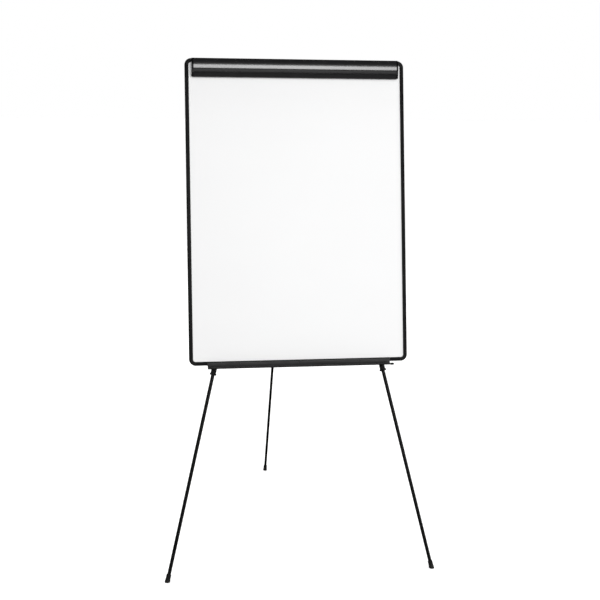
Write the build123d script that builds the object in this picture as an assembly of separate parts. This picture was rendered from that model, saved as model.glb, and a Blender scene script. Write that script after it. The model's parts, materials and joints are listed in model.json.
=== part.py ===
from build123d import *
import math
import os

# Tripod flipchart easel. Millimetres, +Z up, the writing face looks towards -Y.
# The origin is on the floor, in the middle of the feet's rectangle.
#
# Everything that is fixed to the board is drawn in the board frame and leaned back at the end:
# X to the right, Y backwards through the board, Z up its slope. Y = 0 is the front face of the
# frame rails, and Z is counted from the line where that face would meet the floor.

# ---- driving dimensions ----------------------------------------------------------------------
LEAN = 11.0                 # board's backward lean, degrees
BOARD_W = 737.0             # outside of the frame
BOARD_H = 1013.0
BOARD_Z = 720.0             # bottom edge of the frame, along the slope
TOP_Z = BOARD_Z + BOARD_H
MID_Z = BOARD_Z + BOARD_H / 2

FRONT_FOOT_X = 451.0        # half the spread of the front feet
REAR_FOOT_Y = 1040.0        # rear foot behind the board's floor line
PIVOT_X = 52.0              # half the distance between the front leg pivots
PIVOT_Z = 1690.0
LEG_Y = 23.0                # plane of the front legs, behind the board
REAR_PIVOT_Y = 45.0
REAR_PIVOT_Z = 1685.0

# frame rail section: across the face, and through the depth
RAIL_W = 13.0
RAIL_D = 13.0
CORNER_R = 22.0
SLOT_FLOOR = 8.0            # distance of the slot's floor from the outer edge
SLOT_FRONT = 3.0
SLOT_BACK = 11.2
SPIGOT_GAP = 0.2
SPIGOT_L = 20.0

# board sandwich
SHEET_INSET = 8.5
SHEET_R = 13.0
WRITING_Y = 3.1             # front of the writing sheet
WRITING_T = 1.0
CORE_T = 6.0
BACKING_T = 1.0

# pad retainer: a rocking clamp bar on a rod
HINGE_Y = -12.0
HINGE_DROP = 27.0           # below the frame's top edge
ROD_R = 2.0
BAR_HALF = 340.0
CAP_T = 6.0
BASE_HALF = 334.0
HOOD_R = 30.0
HOOD_DROP = 26.0            # the hood stands out furthest at this drop
HOOD_FRONT = -22.3
HOOD_WALL = 1.8
LUG_X = (-322.0, -208.0, 0.0, 208.0, 322.0)
LUG_T = 8.0
SPRING_LUG_X = 208.0        # each of these lugs has a spring on its outer side
SPRING_SIDE = 12.0          # centre of the coil beside its lug
RIVET_STEP = 26.5           # rivets on each side of a spring station

# marker tray
TRAY_HALF = 308.0
TRAY_FLOOR_HALF = 300.0
TRAY_DEPTH = 48.0
TRAY_WALL = 2.0
TRAY_FLOOR_Z = 711.7
BEAD_R = 2.7

# tripod head
HEAD_HALF = 80.0
HEAD_FRONT = 11.25
HEAD_PLATE_Y = 18.4
CHEEK_Y = 27.6
HEAD_BACK = 31.0
HEAD_LOW = 1664.0
CHEEK_LOW = 1668.0
CHEEK_TOP = 1712.0
HEAD_TOP = 1731.0
PIVOT_R = 3.0
REAR_PIN_R = 2.5
RUNNING = 0.06              # radial clearance of every turning or sliding fit
TONGUE_HALF_W = 7.0
STOP_GAP = 0.15
EAR_IN = 6.6
EAR_OUT = 11.6
EAR_R = 9.0

# guide strap that keeps the front legs against the back of the board
STRAP_Z = 749.0
STRAP_HALF = 318.0
STRAP_H = 18.0
STRAP_Y = 31.6
STRAP_T = 2.0
SPACER_X = 306.0

# telescopic legs: distances are measured down the leg from its pivot
TUBE_TOP = 34.0
TUBE_END = 1000.0
TUBE_WALL = 1.0
BODY_START = 985.0
BODY_END = 1012.0
RING_END = 1031.0
FLANGE_L = 5.5
BUSH_L = 35.0
FRONT_LOWER_R = 6.0
REAR_LOWER_R = 5.0
FOOT_L = 26.0
FOOT_SOLE = 7.0

# ---- derived placing -------------------------------------------------------------------------
LEAN_RAD = math.radians(LEAN)


def floor_drop(y):
    """Height up the slope at which the plane Y = y meets the floor."""
    return y * math.tan(LEAN_RAD)


SPREAD = math.degrees(math.atan2(FRONT_FOOT_X - PIVOT_X, PIVOT_Z - floor_drop(LEG_Y)))
FRONT_LENGTH = math.hypot(FRONT_FOOT_X - PIVOT_X, PIVOT_Z - floor_drop(LEG_Y))

REAR_PIVOT_WORLD_Y = REAR_PIVOT_Z * math.sin(LEAN_RAD) + REAR_PIVOT_Y * math.cos(LEAN_RAD)
REAR_PIVOT_WORLD_Z = REAR_PIVOT_Z * math.cos(LEAN_RAD) - REAR_PIVOT_Y * math.sin(LEAN_RAD)
REAR_SWING = math.degrees(math.atan2(REAR_FOOT_Y - REAR_PIVOT_WORLD_Y, REAR_PIVOT_WORLD_Z))
REAR_LENGTH = math.hypot(REAR_FOOT_Y - REAR_PIVOT_WORLD_Y, REAR_PIVOT_WORLD_Z)

FRONT_FOOT_Y = LEG_Y / math.cos(LEAN_RAD)
LEAN_LOC = Pos(0, -(FRONT_FOOT_Y + REAR_FOOT_Y) / 2, 0) * Rot(-LEAN, 0, 0)

# pan heads of the screws: radius and height
CAP_PAN = (2.6, 1.4)
SMALL_PAN = (2.8, 1.6)
LARGE_PAN = (3.8, 2.2)

nodes = {}


def add(name, shape):
    """Keep a finished sub-part, already in its own place in the easel."""
    nodes[name] = shape


def add_leaned(name, shape):
    """Keep a sub-part drawn in the board frame."""
    nodes[name] = LEAN_LOC * shape


def along_x(section, low, high):
    """Extrude a section drawn in (Y, Z) from X = low to X = high."""
    return Pos(low, 0, 0) * extrude(Plane.YZ * section, amount=high - low)


def block(x0, x1, y0, y1, z0, z1):
    """Box between two corners."""
    return Pos((x0 + x1) / 2, (y0 + y1) / 2, (z0 + z1) / 2) * Box(x1 - x0, y1 - y0, z1 - z0)


def rod_y(radius, x, z, y0, y1):
    """Cylinder through the board's depth."""
    return Pos(x, (y0 + y1) / 2, z) * Rot(90, 0, 0) * Cylinder(radius, y1 - y0)


def rod_x(radius, y, z, x0, x1):
    """Cylinder across the board's width."""
    return Pos((x0 + x1) / 2, y, z) * Rot(0, 90, 0) * Cylinder(radius, x1 - x0)


def pan_screw(pan, shank_r, length):
    """Cross-recess pan-head screw: the head stands on Y = 0 towards -Y, the shank runs to +Y."""
    head_r, head_h = pan
    head = Pos(0, -head_h / 2, 0) * Rot(90, 0, 0) * Cylinder(head_r, head_h)
    head = fillet(head.edges().group_by(Axis.Y)[0], head_h * 0.6)
    slots = block(-head_r * 0.6, head_r * 0.6, -head_h, -head_h * 0.4, -0.4, 0.4)
    slots += block(-0.4, 0.4, -head_h, -head_h * 0.4, -head_r * 0.6, head_r * 0.6)
    return head - slots + rod_y(shank_r, 0, 0, -0.01, length)


def group(shapes):
    """Several separate solids in one node."""
    return Compound(children=[solid for shape in shapes for solid in shape.solids()])


def mirrored(shape):
    """The same shape on the other side of the easel's middle."""
    return mirror(shape, about=Plane.YZ)


# ---- frame: four rails and four moulded corners ----------------------------------------------
MID_PLANE = Plane(origin=(0, 0, MID_Z), z_dir=(0, 0, 1))
CHAMBER_W = 4.5
CHAMBER_D = 8.0
CHAMBER_A = 4.0             # chamber centre from the outer edge
CHAMBER_Y = 6.5
RAIL_SCREW_R = 1.5


def rail_section(hollow):
    """Rail section: X from the outer edge inwards, Y through the depth."""
    body = Pos(RAIL_W / 2, RAIL_D / 2) * Rectangle(RAIL_W, RAIL_D)
    body = fillet(body.vertices().group_by(Axis.Y)[0], 2.9)
    body = fillet(body.vertices().group_by(Axis.Y)[-1], 1.5)
    slot_w = RAIL_W - SLOT_FLOOR
    slot_y = (SLOT_FRONT + SLOT_BACK) / 2
    body -= Pos(SLOT_FLOOR + slot_w, slot_y) * Rectangle(2 * slot_w, SLOT_BACK - SLOT_FRONT)
    if hollow:
        body -= Pos(CHAMBER_A, CHAMBER_Y) * Rectangle(CHAMBER_W, CHAMBER_D)
    return body


SIDE_PLANE = Plane(origin=(-BOARD_W / 2, 0, BOARD_Z + CORNER_R), x_dir=(1, 0, 0), z_dir=(0, 0, 1))
BOTTOM_PLANE = Plane(origin=(0, 0, BOARD_Z), x_dir=(0, 0, 1), z_dir=(-1, 0, 0))

rail_left = extrude(SIDE_PLANE * rail_section(True), amount=BOARD_H - 2 * CORNER_R)
rail_bottom = extrude(BOTTOM_PLANE * rail_section(True), amount=BOARD_W / 2 - CORNER_R, both=True)
rail_top = mirror(rail_bottom, about=MID_PLANE)


def corner_piece():
    """Lower left corner: a quarter turn of the rail section, with a spigot into each rail."""
    centre_x = -BOARD_W / 2 + CORNER_R
    centre_z = BOARD_Z + CORNER_R
    turn = Axis((centre_x, 0, centre_z), (0, -1, 0))
    body = revolve(SIDE_PLANE * rail_section(False), axis=turn, revolution_arc=90)
    half_w = (CHAMBER_W - 2 * SPIGOT_GAP) / 2
    half_d = (CHAMBER_D - 2 * SPIGOT_GAP) / 2
    y0 = CHAMBER_Y - half_d
    y1 = CHAMBER_Y + half_d
    side = -BOARD_W / 2 + CHAMBER_A
    low = BOARD_Z + CHAMBER_A
    body += block(side - half_w, side + half_w, y0, y1, centre_z - 1, centre_z + SPIGOT_L)
    body += block(centre_x - 1, centre_x + SPIGOT_L, y0, y1, low - half_w, low + half_w)
    return body


corner = corner_piece()
add_leaned("frame_rail_left", rail_left)
add_leaned("frame_rail_right", mirrored(rail_left))
add_leaned("frame_corner_bottom_left", corner)
add_leaned("frame_corner_bottom_right", mirrored(corner))
add_leaned("frame_corner_top_left", mirror(corner, about=MID_PLANE))
add_leaned("frame_corner_top_right", mirrored(mirror(corner, about=MID_PLANE)))


# ---- board sandwich --------------------------------------------------------------------------
def board_sheet(front, thickness):
    """One layer of the board, with its corners rounded to sit in the corner pieces' slots."""
    width = BOARD_W - 2 * SHEET_INSET
    height = BOARD_H - 2 * SHEET_INSET
    plane = Plane(origin=(0, front, MID_Z), x_dir=(1, 0, 0), z_dir=(0, 1, 0))
    return extrude(plane * RectangleRounded(width, height, SHEET_R), amount=thickness)


CORE_Y = WRITING_Y + WRITING_T
BACKING_Y = CORE_Y + CORE_T
BOARD_BACK = BACKING_Y + BACKING_T
add_leaned("writing_sheet", board_sheet(WRITING_Y, WRITING_T))
core_board = board_sheet(CORE_Y, CORE_T)
backing_sheet = board_sheet(BACKING_Y, BACKING_T)

# ---- pad retainer ----------------------------------------------------------------------------
# Sections are drawn in (Y, height above the frame's top edge), so heights are negative.
AT_TOP = Pos(0, 0, TOP_Z)
HINGE_Z = TOP_Z - HINGE_DROP
BOSS_R = 4.2
LUG_R = 4.5
BASE_T = 2.0
BASE_SCREW_X = (-265.0, -104.0, 104.0, 265.0)
BASE_SCREW_DROP = 6.4       # through the rail's solid wall, clear of the sheets in its slot


def hood_y(drop, inset=0.0):
    """Y of the hood's curved face at a drop below the frame's top, moved in by inset."""
    centre_y = HOOD_FRONT + HOOD_R
    return centre_y - math.sqrt((HOOD_R - inset) ** 2 - (drop - HOOD_DROP) ** 2)


def bar_section():
    """Clamp bar: curved hood above, grooved flap below, returned towards the board."""
    hood_out = ThreePointArc((hood_y(1), -1), (HOOD_FRONT, -HOOD_DROP), (hood_y(35.5), -35.5))
    flap_out = Polyline(
        (hood_y(35.5), -35.5), (-17.8, -36.0), (-17.8, -37.4), (-19.4, -38.2),
        (-18.1, -43.4), (-17.1, -43.9), (-17.1, -46.2), (-17.9, -47.2),
    )
    bead = ThreePointArc((-17.9, -47.2), (-18.7, -48.5), (-17.9, -49.8))
    flap_low = Polyline((-17.9, -49.8), (-16.6, -51.0), (-12.4, -60.6))
    toe = ThreePointArc((-12.4, -60.6), (-11.5, -62.3), (-9.8, -63.0))
    returned = Polyline(
        (-9.8, -63.0), (-1.2, -63.0), (-1.2, -52.5), (-3.0, -52.5), (-3.0, -61.2),
        (-10.4, -61.2), (-15.0, -50.0), (-15.3, -36.0), (hood_y(34.5, HOOD_WALL), -34.5),
    )
    hood_in = ThreePointArc(
        (hood_y(34.5, HOOD_WALL), -34.5),
        (HOOD_FRONT + HOOD_WALL, -HOOD_DROP),
        (hood_y(2.0, HOOD_WALL), -2.0),
    )
    rim = Line((hood_y(2.0, HOOD_WALL), -2.0), (hood_y(1), -1))
    wall = make_face([hood_out, flap_out, bead, flap_low, toe, returned, hood_in, rim])
    web = Pos(-17.5, -HINGE_DROP) * Rectangle(6.5, 2.0)
    boss = Pos(HINGE_Y, -HINGE_DROP) * Circle(BOSS_R)
    screw_port = Pos(-8.5, -58.8) * Circle(2.9)
    section = wall + web + boss + screw_port
    section -= Pos(HINGE_Y, -HINGE_DROP) * Circle(ROD_R + RUNNING)
    return section - Pos(-8.5, -58.8) * Circle(1.3)


retainer_bar = AT_TOP * along_x(bar_section(), -BAR_HALF, BAR_HALF)
for lug_x in LUG_X:
    reach = LUG_T / 2 + 1
    retainer_bar -= block(lug_x - reach, lug_x + reach, -18.6, -7.0, HINGE_Z - 5, HINGE_Z + 5)
spring_room = block(
    SPRING_LUG_X, SPRING_LUG_X + SPRING_SIDE + 6, -18.6, -7.0, HINGE_Z - 5, HINGE_Z + 5
)
retainer_bar -= spring_room
retainer_bar -= mirrored(spring_room)

RIVET_DROP = 45.0
RIVET_Z = TOP_Z - RIVET_DROP
RIVET_R = 1.6
RIVET_HEAD_R = 2.3
RIVET_TAIL_R = 2.4
RIVET_SEAT_Y = -17.15       # floor of the round recess that each rivet's head sits in
rivet_x = [x + side * RIVET_STEP for x in (-SPRING_LUG_X, SPRING_LUG_X) for side in (-1, 1)]
for x in rivet_x:
    retainer_bar -= rod_y(RIVET_R, x, RIVET_Z, -19, -14)
    retainer_bar -= rod_y(RIVET_HEAD_R + 0.1, x, RIVET_Z, -20, RIVET_SEAT_Y)
add_leaned("retainer_bar", retainer_bar)

clip_section = make_face(Polyline(
    (-14.9, -50), (-13.9, -50), (-13.9, -39), (-12.6, -35.4), (-13.5, -35.1), (-14.9, -38.8), (-14.9, -50),
))
clips = []
for x in (-SPRING_LUG_X, SPRING_LUG_X):
    clip = AT_TOP * along_x(clip_section, x - 34, x + 34)
    for side in (-1, 1):
        clip -= rod_y(RIVET_R, x + side * RIVET_STEP, RIVET_Z, -16, -12)
    clips.append(clip)
add_leaned("retainer_spring_clips", group(clips))

rivets = []
for x in rivet_x:
    rivet = rod_y(RIVET_R, x, RIVET_Z, -17.2, -13.8)
    rivet += rod_y(RIVET_HEAD_R, x, RIVET_Z, RIVET_SEAT_Y - 0.6, RIVET_SEAT_Y)
    rivets.append(rivet + rod_y(RIVET_TAIL_R, x, RIVET_Z, -13.85, -12.9))
add_leaned("retainer_rivets", group(rivets))


def end_cap():
    """Moulded cap on the right-hand end of the clamp bar, with its lower outer corner rounded."""
    outer = ThreePointArc((hood_y(1), -1), (HOOD_FRONT, -HOOD_DROP), (hood_y(35.5), -35.5))
    rest = Polyline(
        (hood_y(35.5), -35.5), (-19.4, -38.2), (-18.0, -50.0), (-12.4, -60.6), (-9.8, -63.0),
        (-1.4, -63.0), (-1.4, -40.0), (-3.4, -24.0), (-8.6, -2.0), (hood_y(1), -1),
    )
    cap = AT_TOP * along_x(make_face([outer, rest]), BAR_HALF, BAR_HALF + CAP_T)
    foot_edges = cap.edges().filter_by(Axis.Y).sort_by(Axis.Z)[:2]
    cap = fillet(foot_edges.sort_by(Axis.X)[-1:], 5.0)
    return cap - rod_x(1.5, -8.5, TOP_Z - 58.8, BAR_HALF - 1, BAR_HALF + CAP_T + 1)


cap_right = end_cap()
add_leaned("retainer_end_cap_right", cap_right)
add_leaned("retainer_end_cap_left", mirrored(cap_right))

cap_screw = Pos(BAR_HALF + CAP_T, -8.5, TOP_Z - 58.8) * Rot(0, 0, 90) * pan_screw(CAP_PAN, 1.3, 14)
add_leaned("retainer_end_screws", group([cap_screw, mirrored(cap_screw)]))

strip_section = make_face(Polyline(
    (-1.2, -53.5), (1.2, -53.5), (2.8, -55.0), (1.4, -56.3), (1.4, -57.8), (2.8, -59.2), (1.2, -60.8),
    (-1.2, -60.8), (-1.2, -53.5),
))
add_leaned("retainer_grip_strip", AT_TOP * along_x(strip_section, -BAR_HALF + 4, BAR_HALF - 4))

base_section = Pos(-BASE_T / 2, -17.5) * Rectangle(BASE_T, 31.0)
base_rail = AT_TOP * along_x(base_section, -BASE_HALF, BASE_HALF)
lug_section = make_face(Polyline((-1, -17), (-11, -22.6), (-11, -31.4), (-1, -33), (-1, -17)))
lug_section += Pos(HINGE_Y, -HINGE_DROP) * Circle(LUG_R)
for lug_x in LUG_X:
    base_rail += AT_TOP * along_x(lug_section, lug_x - LUG_T / 2, lug_x + LUG_T / 2)
base_rail -= rod_x(ROD_R, HINGE_Y, HINGE_Z, -BASE_HALF, BASE_HALF)
base_screws = []
for x in BASE_SCREW_X:
    z = TOP_Z - BASE_SCREW_DROP
    shank = rod_y(RAIL_SCREW_R, x, z, -BASE_T - 1, 8)
    base_rail -= shank
    rail_top -= shank
    base_screws.append(Pos(x, -BASE_T, z) * pan_screw(SMALL_PAN, RAIL_SCREW_R, 8))
add_leaned("retainer_base_rail", base_rail)
add_leaned("retainer_base_screws", group(base_screws))
add_leaned("retainer_hinge_rod", rod_x(ROD_R, HINGE_Y, HINGE_Z, -BAR_HALF + 2, BAR_HALF - 2))


def torsion_spring(x):
    """Coil round the hinge rod beside its lug, one leg on the base rail, one inside the hood."""
    wire_r = 0.55
    coil_r = 3.2
    pitch = 1.35
    turns = 5
    length = pitch * turns
    helix = Helix(pitch=pitch, height=length, radius=coil_r)
    start = Plane(origin=helix @ 0, z_dir=helix % 0)
    coil = sweep(start * Circle(wire_r), path=helix)
    coil = Pos(x - length / 2, HINGE_Y, HINGE_Z) * Rot(0, 90, 0) * coil
    legs = []
    for leg_x, foot, tip in (
        (x - length / 2, (-8.9, 0.0), (-3.0, 13.0)),
        (x + length / 2, (-15.2, 0.0), (-16.3, 14.0)),
    ):
        low = Vector(leg_x, foot[0], HINGE_Z + foot[1])
        high = Vector(leg_x, tip[0], HINGE_Z + tip[1])
        run = Plane(origin=low, z_dir=high - low)
        legs.append(extrude(run * Circle(wire_r), amount=(high - low).length))
    return [coil] + legs


spring_right = group(torsion_spring(SPRING_LUG_X + SPRING_SIDE))
add_leaned("retainer_springs", group([spring_right, mirrored(spring_right)]))

# ---- marker tray -----------------------------------------------------------------------------
BEAD_Z = TRAY_FLOOR_Z + 2.7
TRAY_SCREW_X = (-200.0, 0.0, 200.0)
TRAY_SCREW_Z = BOARD_Z + 5.2
FLANGE_TOP = BOARD_Z + 11.0

tray_back = Pos(-TRAY_WALL / 2, (TRAY_FLOOR_Z + FLANGE_TOP) / 2) * Rectangle(
    TRAY_WALL, FLANGE_TOP - TRAY_FLOOR_Z
)
tray_back = fillet(tray_back.vertices().group_by(Axis.X)[0].sort_by(Axis.Y)[-1:], 1.2)
tray_hook = Pos(6.0, BOARD_Z - 1.05) * Rectangle(12.0, 1.8)
tray_floor = Pos(-TRAY_DEPTH / 2, TRAY_FLOOR_Z + 1.0) * Rectangle(TRAY_DEPTH, 2.0)
tray_bead = Pos(-TRAY_DEPTH, BEAD_Z) * Circle(BEAD_R)
marker_tray = along_x(tray_back + tray_hook, -TRAY_HALF, TRAY_HALF)
marker_tray += along_x(tray_floor + tray_bead, -TRAY_FLOOR_HALF, TRAY_FLOOR_HALF)
marker_tray -= rod_x(1.3, -TRAY_DEPTH, BEAD_Z, -TRAY_HALF, TRAY_HALF)
tray_screws = []
for x in TRAY_SCREW_X:
    shank = rod_y(RAIL_SCREW_R, x, TRAY_SCREW_Z, -TRAY_WALL - 1, 7)
    marker_tray -= shank
    rail_bottom -= shank
    tray_screws.append(Pos(x, -TRAY_WALL, TRAY_SCREW_Z) * pan_screw(SMALL_PAN, RAIL_SCREW_R, 7))
add_leaned("marker_tray", marker_tray)
add_leaned("tray_screws", group(tray_screws))

PLUG_R = 3.6
PLUG_L = 11.0
plug = rod_x(PLUG_R, -TRAY_DEPTH, BEAD_Z, TRAY_FLOOR_HALF, TRAY_FLOOR_HALF + PLUG_L)
plug = fillet(plug.edges().group_by(Axis.X)[-1], 2.6)
plug += rod_x(1.25, -TRAY_DEPTH, BEAD_Z, TRAY_FLOOR_HALF - 12, TRAY_FLOOR_HALF + 1)
add_leaned("tray_end_plugs", group([plug, mirrored(plug)]))

# ---- tripod head -----------------------------------------------------------------------------
RAIL_BACK_Z = TOP_Z - RAIL_W
HEAD_STEP = 13.05
EYE_CLEAR = 9.4
PIVOT_HEAD_R = 4.5
PIVOT_DOME_R = 5.2
REAR_PIN_HEAD_R = 4.4


def tongue_sweep():
    """Space in the head for the right-hand leg tongue, from folded to fully spread."""
    spread = math.radians(SPREAD)
    half = TONGUE_HALF_W + STOP_GAP
    low = HEAD_LOW - 8
    run = PIVOT_Z - low
    fan = make_face(Polyline(
        (PIVOT_X - half, PIVOT_Z), (PIVOT_X - half, low),
        (PIVOT_X + run * math.tan(spread) + half / math.cos(spread), low),
        (PIVOT_X + half / math.cos(spread), PIVOT_Z), (PIVOT_X - half, PIVOT_Z),
    ))
    space = fan + Pos(PIVOT_X, PIVOT_Z) * Circle(EYE_CLEAR)
    plane = Plane(origin=(0, CHEEK_Y, 0), x_dir=(1, 0, 0), z_dir=(0, -1, 0))
    return extrude(plane * space, amount=CHEEK_Y - HEAD_PLATE_Y)


head_section = make_face(Polyline(
    (HEAD_FRONT, HEAD_LOW), (HEAD_PLATE_Y, HEAD_LOW), (HEAD_PLATE_Y, HEAD_TOP), (HEAD_STEP, HEAD_TOP),
    (HEAD_STEP, RAIL_BACK_Z - 0.3), (HEAD_FRONT, RAIL_BACK_Z - 0.3), (HEAD_FRONT, HEAD_LOW),
))
tripod_head = along_x(head_section, -HEAD_HALF, HEAD_HALF)
tripod_head = fillet(tripod_head.edges().filter_by(Axis.Y).group_by(Axis.Z)[-1], 5.0)
cheek = block(-HEAD_HALF, HEAD_HALF, HEAD_PLATE_Y, HEAD_BACK, CHEEK_LOW, CHEEK_TOP)
cheek = fillet(cheek.edges().filter_by(Axis.Y), 7.0)
tripod_head += cheek
sweep_right = tongue_sweep()
tripod_head -= sweep_right
tripod_head -= mirrored(sweep_right)
for side in (-1, 1):
    ear = block(EAR_IN, EAR_OUT, HEAD_BACK - 1, REAR_PIVOT_Y, REAR_PIVOT_Z - EAR_R, REAR_PIVOT_Z + EAR_R)
    ear += rod_x(EAR_R, REAR_PIVOT_Y, REAR_PIVOT_Z, EAR_IN, EAR_OUT)
    tripod_head += ear if side > 0 else mirrored(ear)
    pivot = side * PIVOT_X
    tripod_head -= rod_y(PIVOT_R, pivot, PIVOT_Z, HEAD_FRONT - 1, HEAD_BACK + 1)
    tripod_head -= rod_y(PIVOT_HEAD_R + 0.1, pivot, PIVOT_Z, HEAD_FRONT - 1, HEAD_FRONT + 1.8)
tripod_head -= rod_x(REAR_PIN_R, REAR_PIVOT_Y, REAR_PIVOT_Z, -EAR_OUT - 1, EAR_OUT + 1)

HEAD_SCREWS = (
    (-62.0, 1727.0, HEAD_PLATE_Y), (62.0, 1727.0, HEAD_PLATE_Y),
    (-22.0, 1676.0, HEAD_BACK), (22.0, 1676.0, HEAD_BACK),
)
HEAD_SCREW_R = 1.9
HEAD_SCREW_BITE = 6.5
head_screws = []
for x, z, seat in HEAD_SCREWS:
    tip = BOARD_BACK - HEAD_SCREW_BITE + (HEAD_STEP - BOARD_BACK if z > RAIL_BACK_Z else 0)
    shank = rod_y(HEAD_SCREW_R, x, z, tip, seat + 1)
    tripod_head -= shank
    rail_top -= shank
    core_board -= shank
    backing_sheet -= shank
    screw = Rot(0, 0, 180) * pan_screw(LARGE_PAN, HEAD_SCREW_R, seat - tip)
    head_screws.append(Pos(x, seat, z) * screw)
add_leaned("tripod_head", tripod_head)
add_leaned("head_screws", group(head_screws))
add_leaned("frame_rail_top", rail_top)
add_leaned("frame_rail_bottom", rail_bottom)

pivot_rivets = []
for side in (-1, 1):
    rivet = rod_y(PIVOT_R, side * PIVOT_X, PIVOT_Z, HEAD_FRONT + 0.2, HEAD_BACK + 0.01)
    rivet += rod_y(PIVOT_HEAD_R, side * PIVOT_X, PIVOT_Z, HEAD_FRONT + 0.2, HEAD_FRONT + 1.75)
    dome = rod_y(PIVOT_DOME_R, side * PIVOT_X, PIVOT_Z, HEAD_BACK, HEAD_BACK + 2.0)
    pivot_rivets.append(rivet + fillet(dome.edges().group_by(Axis.Y)[-1], 1.5))
add_leaned("front_pivot_rivets", group(pivot_rivets))

rear_pin = rod_x(REAR_PIN_R, REAR_PIVOT_Y, REAR_PIVOT_Z, -EAR_OUT - 0.01, EAR_OUT + 0.01)
for side in (-1, 1):
    head = rod_x(REAR_PIN_HEAD_R, REAR_PIVOT_Y, REAR_PIVOT_Z, EAR_OUT, EAR_OUT + 1.8)
    head = fillet(head.edges().group_by(Axis.X)[-1], 1.2)
    rear_pin += head if side > 0 else mirrored(head)
add_leaned("rear_pivot_pin", rear_pin)

# ---- leg guide strap -------------------------------------------------------------------------
SPACER_R = 6.0
STRAP_SCREW_R = 1.9
strap_plane = Plane(origin=(0, STRAP_Y, STRAP_Z), x_dir=(1, 0, 0), z_dir=(0, 1, 0))
strap_shape = SlotOverall(2 * STRAP_HALF, STRAP_H)
guide_strap = extrude(strap_plane * strap_shape, amount=STRAP_T)
spacers = []
strap_screws = []
for x in (-SPACER_X, SPACER_X):
    tip = BOARD_BACK - HEAD_SCREW_BITE
    seat = STRAP_Y + STRAP_T
    shank = rod_y(STRAP_SCREW_R, x, STRAP_Z, tip, seat + 1)
    guide_strap -= shank
    core_board -= shank
    backing_sheet -= shank
    spacers.append(rod_y(SPACER_R, x, STRAP_Z, BOARD_BACK, STRAP_Y) - shank)
    screw = Rot(0, 0, 180) * pan_screw(LARGE_PAN, STRAP_SCREW_R, seat - tip)
    strap_screws.append(Pos(x, seat, STRAP_Z) * screw)
add_leaned("leg_guide_strap", guide_strap)
add_leaned("strap_spacers", group(spacers))
add_leaned("strap_screws", group(strap_screws))
add_leaned("core_board", core_board)
add_leaned("backing_sheet", backing_sheet)


# ---- telescopic legs -------------------------------------------------------------------------
# Each leg is drawn hanging straight down from its pivot, then turned into place.
def sleeve(outer, inner, start, end):
    """Hollow cylinder on the leg's axis, between two distances below the pivot."""
    wall = Cylinder(outer, end - start) - Cylinder(inner, end - start + 1)
    return Pos(0, 0, -(start + end) / 2) * wall


def bar_z(radius, start, end):
    """Solid cylinder on the leg's axis, between two distances below the pivot."""
    return Pos(0, 0, -(start + end) / 2) * Cylinder(radius, end - start)


def front_fitting(inner_r, outer_r):
    """Moulded plug in the tube's top, flattened to a tongue that turns on its rivet."""
    half_t = (CHEEK_Y - HEAD_PLATE_Y) / 2 - 0.2
    tongue = rod_y(9.0, 0, 0, -half_t, half_t)
    tongue += block(-TONGUE_HALF_W, TONGUE_HALF_W, -half_t, half_t, -31, 0)
    tongue += bar_z(outer_r, 30, TUBE_TOP) + bar_z(inner_r - 0.05, TUBE_TOP, TUBE_TOP + 22)
    return tongue - rod_y(PIVOT_R + RUNNING, 0, 0, -10, 10)


def rear_fitting(inner_r, outer_r):
    """Plug of the rear leg: a tongue between the head's ears, with a heel that stops the swing."""
    half_t = EAR_IN - 0.2
    heel_reach = REAR_PIVOT_Y - HEAD_BACK - STOP_GAP
    heel = Rot(-LEAN - REAR_SWING, 0, 0) * block(-half_t, half_t, -heel_reach, 0, 0, 6.5)
    tongue = rod_x(8.0, 0, 0, -half_t, half_t) + heel
    tongue += block(-half_t, half_t, -6.0, 6.0, -31, 0)
    tongue += bar_z(outer_r, 30, TUBE_TOP) + bar_z(inner_r - 0.05, TUBE_TOP, TUBE_TOP + 22)
    return tongue - rod_x(REAR_PIN_R + RUNNING, 0, 0, -10, 10)


def lock_body(outer_r):
    """Collar fixed on the lower end of the upper tube."""
    body = sleeve(outer_r + 1.2, outer_r - 0.7, BODY_START, BODY_END)
    body -= bar_z(outer_r, BODY_START - 1, TUBE_END)
    rims = body.edges().filter_by(GeomType.CIRCLE).filter_by(lambda e: e.radius > outer_r + 1)
    return fillet(rims.sort_by(Axis.Z)[-1:], 1.0)


def lock_collet(lower_r):
    """Slit sleeve that the ring squeezes on to the lower tube."""
    collet = sleeve(lower_r + 1.25, lower_r + RUNNING, TUBE_END + 0.2, RING_END - 2)
    for turn in (0, 90):
        slit = block(-lower_r - 3, lower_r + 3, -0.5, 0.5, -RING_END, -BODY_END + 4)
        collet -= Rot(0, 0, turn) * slit
    return collet


def lock_ring(lower_r):
    """Twist ring with a fluted flange at its lower end."""
    grip_r = lower_r + 3.2
    flange_r = lower_r + 5.3
    inner = lower_r + 1.25 + RUNNING
    ring = bar_z(grip_r, BODY_END + 0.3, RING_END) + bar_z(flange_r, RING_END - FLANGE_L, RING_END)
    ring = chamfer(ring.edges().filter_by(GeomType.CIRCLE).sort_by(Axis.Z)[0], 0.8)
    for place in PolarLocations(flange_r + 0.6, 14):
        ring -= place * Pos(0, 0, -RING_END) * Cylinder(1.3, 2 * FLANGE_L + 1)
    return ring - bar_z(inner, BODY_END, RING_END + 1)


def tube_bushing(lower_r):
    """Guide cap on the lower tube's top, sliding inside the upper tube."""
    bush = bar_z(lower_r + 1 - RUNNING, TUBE_END - BUSH_L, TUBE_END - 0.1)
    return bush - bar_z(lower_r, TUBE_END - BUSH_L + 3, TUBE_END)


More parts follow.
